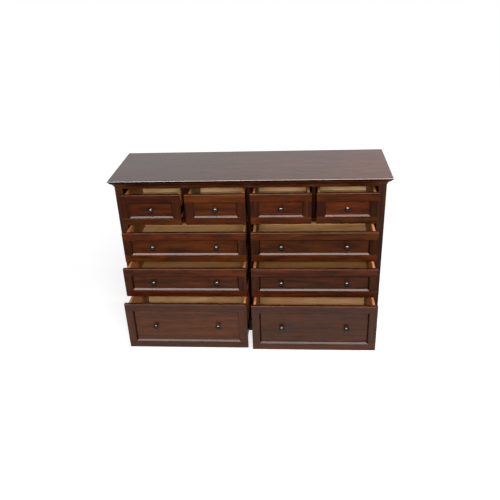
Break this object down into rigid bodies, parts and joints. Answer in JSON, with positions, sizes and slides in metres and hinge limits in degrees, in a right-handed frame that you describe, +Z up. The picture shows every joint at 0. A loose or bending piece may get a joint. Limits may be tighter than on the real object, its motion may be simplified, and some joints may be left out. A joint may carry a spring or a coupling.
{
  "type": "dresser",
  "caption": "Wide dark-stained wooden dresser with framed inset drawer fronts, round knobs, a moulded overhanging top and drawers that run on side slides.",
  "frame": {"origin": "on the floor, under the middle of the case, half way between its front and back faces", "axes": "+X to the right seen from the front, +Y towards the back, +Z up"},
  "size_m": [1.524, 0.759, 0.991],
  "materials": {
    "stained_wood": "dark reddish-brown stain under satin varnish",
    "drawer_wood": "light wood, clear satin lacquer",
    "case_board": "thin brown stain, matt",
    "knob_bronze": "dark bronze patina, polished",
    "slide_steel": "zinc plated"
  },
  "bodies": {
    "case": {"top_panel": "stained_wood", "cove_front": "stained_wood", "cove_left": "stained_wood", "cove_right": "stained_wood", "face_stiles": "stained_wood", "centre_stile": "stained_wood", "top_rail": "stained_wood", "row_rails": "stained_wood", "drawer_dividers": "stained_wood", "base_rail": "stained_wood", "side_left": "stained_wood", "side_right": "stained_wood", "centre_partition": "case_board", "drawer_partitions": "case_board", "dust_shelves": "case_board", "bottom_boards": "case_board", "back_panel": "case_board", "back_rails": "case_board", "slide_cabinet_channels": "slide_steel", "slide_blocks": "case_board"},
    "drawer_top_1": {"drawer_top_1_front": "stained_wood", "drawer_top_1_box": "drawer_wood", "drawer_top_1_knob": "knob_bronze", "drawer_top_1_slides": "slide_steel"},
    "drawer_top_2": {"drawer_top_2_front": "stained_wood", "drawer_top_2_box": "drawer_wood", "drawer_top_2_knob": "knob_bronze", "drawer_top_2_slides": "slide_steel"},
    "drawer_top_3": {"drawer_top_3_front": "stained_wood", "drawer_top_3_box": "drawer_wood", "drawer_top_3_knob": "knob_bronze", "drawer_top_3_slides": "slide_steel"},
    "drawer_top_4": {"drawer_top_4_front": "stained_wood", "drawer_top_4_box": "drawer_wood", "drawer_top_4_knob": "knob_bronze", "drawer_top_4_slides": "slide_steel"},
    "drawer_upper_left": {"drawer_upper_left_front": "stained_wood", "drawer_upper_left_box": "drawer_wood", "drawer_upper_left_knob": "knob_bronze", "drawer_upper_left_slides": "slide_steel"},
    "drawer_middle_left": {"drawer_middle_left_front": "stained_wood", "drawer_middle_left_box": "drawer_wood", "drawer_middle_left_knob": "knob_bronze", "drawer_middle_left_slides": "slide_steel"},
    "drawer_bottom_left": {"drawer_bottom_left_front": "stained_wood", "drawer_bottom_left_box": "drawer_wood", "drawer_bottom_left_knob": "knob_bronze", "drawer_bottom_left_slides": "slide_steel"},
    "drawer_upper_right": {"drawer_upper_right_front": "stained_wood", "drawer_upper_right_box": "drawer_wood", "drawer_upper_right_knob": "knob_bronze", "drawer_upper_right_slides": "slide_steel"},
    "drawer_middle_right": {"drawer_middle_right_front": "stained_wood", "drawer_middle_right_box": "drawer_wood", "drawer_middle_right_knob": "knob_bronze", "drawer_middle_right_slides": "slide_steel"},
    "drawer_bottom_right": {"drawer_bottom_right_front": "stained_wood", "drawer_bottom_right_box": "drawer_wood", "drawer_bottom_right_knob": "knob_bronze", "drawer_bottom_right_slides": "slide_steel"}
  },
  "joints": [
    {"name": "top_1_slide", "type": "slide", "parent": "case", "child": "drawer_top_1", "axis": [0, -1, 0], "range_m": [-0.082, 0.228]},
    {"name": "top_2_slide", "type": "slide", "parent": "case", "child": "drawer_top_2", "axis": [0, -1, 0], "range_m": [-0.0825, 0.2275]},
    {"name": "top_3_slide", "type": "slide", "parent": "case", "child": "drawer_top_3", "axis": [0, -1, 0], "range_m": [-0.08, 0.23]},
    {"name": "top_4_slide", "type": "slide", "parent": "case", "child": "drawer_top_4", "axis": [0, -1, 0], "range_m": [-0.0785, 0.2315]},
    {"name": "upper_left_slide", "type": "slide", "parent": "case", "child": "drawer_upper_left", "axis": [0, -1, 0], "range_m": [-0.138, 0.172]},
    {"name": "middle_left_slide", "type": "slide", "parent": "case", "child": "drawer_middle_left", "axis": [0, -1, 0], "range_m": [-0.21, 0.1]},
    {"name": "bottom_left_slide", "type": "slide", "parent": "case", "child": "drawer_bottom_left", "axis": [0, -1, 0], "range_m": [-0.281, 0.029]},
    {"name": "upper_right_slide", "type": "slide", "parent": "case", "child": "drawer_upper_right", "axis": [0, -1, 0], "range_m": [-0.139, 0.171]},
    {"name": "middle_right_slide", "type": "slide", "parent": "case", "child": "drawer_middle_right", "axis": [0, -1, 0], "range_m": [-0.213, 0.097]},
    {"name": "bottom_right_slide", "type": "slide", "parent": "case", "child": "drawer_bottom_right", "axis": [0, -1, 0], "range_m": [-0.293, 0.017]}
  ]
}
